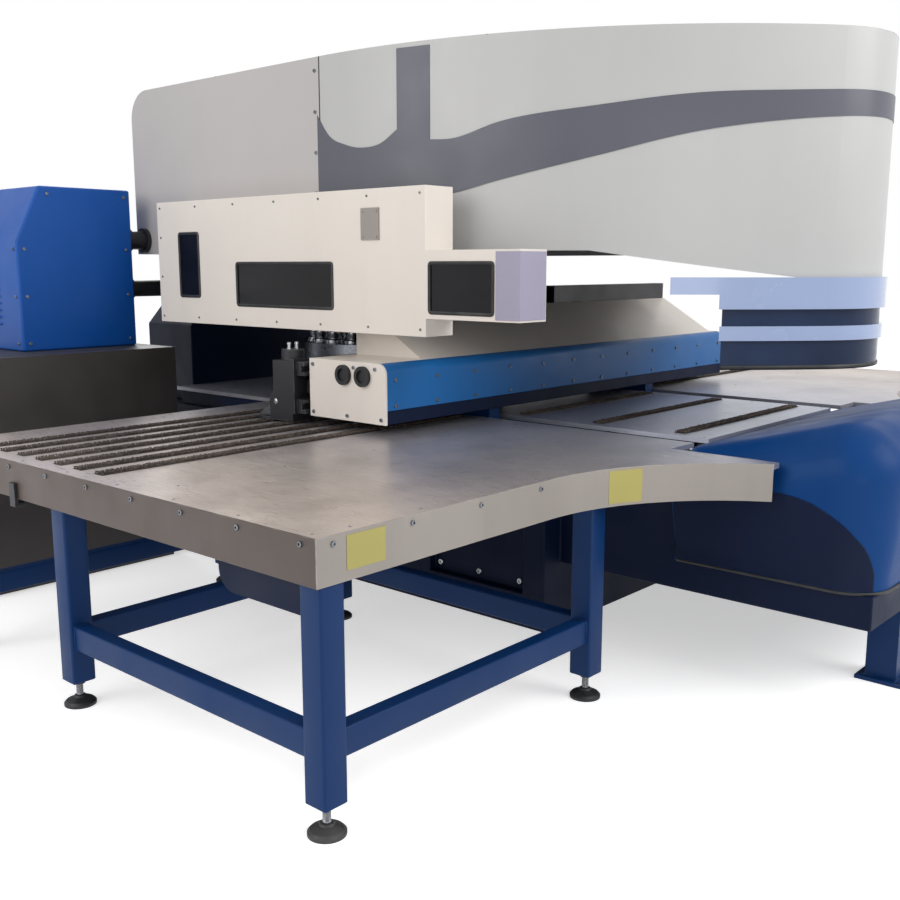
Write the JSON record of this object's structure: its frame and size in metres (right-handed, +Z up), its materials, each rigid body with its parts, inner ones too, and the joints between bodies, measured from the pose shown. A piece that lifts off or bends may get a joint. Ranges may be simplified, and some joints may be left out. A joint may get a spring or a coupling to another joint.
{
  "type": "cnc turret punch press",
  "caption": "Turret punch press with a cross beam and clamps over brush tables, a revolving turret under a swept grey casing and a blue front housing.",
  "frame": {"origin": "on the floor under the middle of the machine's outline", "axes": "+X along the cross beam to the operator's right, +Y from the front housing to the rear column, +Z up"},
  "size_m": [5.656, 4.6494, 2.55],
  "materials": {
    "leg_navy": "satin",
    "deep_navy": "satin",
    "hood_blue": "semi-gloss",
    "housing_blue": "gloss",
    "beam_blue": "semi-gloss",
    "cream": "satin",
    "casing_grey": "satin",
    "stripe_slate": "satin",
    "lilac_grey": "satin",
    "apron_brown": "satin",
    "apron_grey": "satin",
    "field_yellow": "satin",
    "table_steel": "brushed",
    "bristle": "matte",
    "black_part": "matte",
    "smoked": "gloss",
    "ground_steel": "ground",
    "tool_steel": "machined",
    "clamp_black": "satin",
    "cabinet_dark": "satin"
  },
  "bodies": {
    "frame": {"table_legs": "leg_navy", "levelling_feet": "black_part", "lower_rails": "leg_navy", "table_top_rails": "deep_navy", "knee_braces": "deep_navy", "side_table_left": "table_steel", "side_table_right": "table_steel", "centre_table": "table_steel", "brush_strips": "bristle", "side_aprons": "apron_brown", "front_aprons": "apron_grey", "apron_fields": "field_yellow", "apron_hooks": "clamp_black", "table_bearers": "deep_navy", "base_frame": "deep_navy", "pedestals": "leg_navy", "front_housing": "housing_blue", "rear_column": "deep_navy", "upper_arm": "deep_navy", "casing_rear": "casing_grey", "casing_front": "casing_grey", "casing_posts": "clamp_black", "casing_stripe": "stripe_slate", "visor_trim": "beam_blue", "visor_pane": "smoked", "side_housing": "cream", "housing_windows": "smoked", "housing_end_panel": "lilac_grey", "housing_cover": "apron_grey", "y_guides": "ground_steel", "y_screw_bearings": "clamp_black", "cabinet": "cabinet_dark", "cabinet_gear": "casing_grey", "drive_hood": "hood_blue", "drive_pipes": "clamp_black"},
    "beam": {"y_guide_blocks": "tool_steel", "y_saddles": "leg_navy", "cross_beam": "deep_navy", "beam_top_cover": "cream", "beam_front_cover": "beam_blue", "beam_end_plates": "cream", "beam_sockets": "black_part", "cable_trough": "clamp_black", "x_guides": "ground_steel", "x_screw_bearings": "clamp_black"},
    "carriage": {"x_carriage": "clamp_black", "clamp_bodies": "clamp_black", "jaw_pins": "ground_steel"},
    "jaw_left": {"jaw_left": "tool_steel"},
    "jaw_middle": {"jaw_middle": "tool_steel"},
    "jaw_right": {"jaw_right": "tool_steel"},
    "upper_turret": {"upper_turret": "tool_steel", "punch_holders": "ground_steel"},
    "lower_turret": {"lower_turret": "tool_steel", "die_holders": "ground_steel"},
    "ram": {"ram": "ground_steel"},
    "y_screw": {"y_screw": "ground_steel"},
    "x_screw": {"x_screw": "ground_steel"},
    "cabinet_door": {"cabinet_door": "cabinet_dark"},
    "door_handle": {"door_handle": "black_part"}
  },
  "joints": [
    {"name": "y_slide", "type": "slide", "parent": "frame", "child": "beam", "axis": [0, 1, 0], "range_m": [-1, 0.15]},
    {"name": "x_slide", "type": "slide", "parent": "beam", "child": "carriage", "axis": [1, 0, 0], "range_m": [0, 1.5]},
    {"name": "jaw_left_open", "type": "hinge", "parent": "carriage", "child": "jaw_left", "pos_m": [-1.465, 0.262, 0.99], "axis": [1, 0, 0], "range_deg": [0, 12]},
    {"name": "jaw_middle_open", "type": "hinge", "parent": "carriage", "child": "jaw_middle", "pos_m": [-0.765, 0.262, 0.99], "axis": [1, 0, 0], "range_deg": [0, 12]},
    {"name": "jaw_right_open", "type": "hinge", "parent": "carriage", "child": "jaw_right", "pos_m": [-0.065, 0.262, 0.99], "axis": [1, 0, 0], "range_deg": [0, 12]},
    {"name": "upper_turret_turn", "type": "hinge", "parent": "frame", "child": "upper_turret", "pos_m": [0, 1.05, 1.1], "axis": [0, 0, 1], "continuous": true},
    {"name": "lower_turret_turn", "type": "hinge", "parent": "frame", "child": "lower_turret", "pos_m": [0, 1.05, 0.8], "axis": [0, 0, 1], "continuous": true},
    {"name": "ram_stroke", "type": "slide", "parent": "frame", "child": "ram", "axis": [0, 0, 1], "range_m": [-0.03, 0]},
    {"name": "y_screw_turn", "type": "hinge", "parent": "frame", "child": "y_screw", "pos_m": [-0.59, -0.5, 0.83], "axis": [0, 1, 0], "continuous": true},
    {"name": "x_screw_turn", "type": "hinge", "parent": "beam", "child": "x_screw", "pos_m": [0, 0.089, 1.065], "axis": [1, 0, 0], "continuous": true},
    {"name": "door_swing", "type": "hinge", "parent": "frame", "child": "cabinet_door", "pos_m": [-2.464, 2.285, 0.6], "axis": [0, 0, 1], "range_deg": [0, 110]},
    {"name": "handle_turn", "type": "hinge", "parent": "cabinet_door", "child": "door_handle", "pos_m": [-1.36, 2.3, 0.615], "axis": [0, 1, 0], "range_deg": [0, 90]}
  ],
  "couplings": [
    {"joint": "jaw_middle_open", "follows": "jaw_left_open", "ratio": 1},
    {"joint": "jaw_right_open", "follows": "jaw_left_open", "ratio": 1},
    {"joint": "lower_turret_turn", "follows": "upper_turret_turn", "ratio": 1},
    {"joint": "y_screw_turn", "follows": "y_slide", "rad_per_m": 157.08},
    {"joint": "x_screw_turn", "follows": "x_slide", "rad_per_m": 157.08}
  ]
}
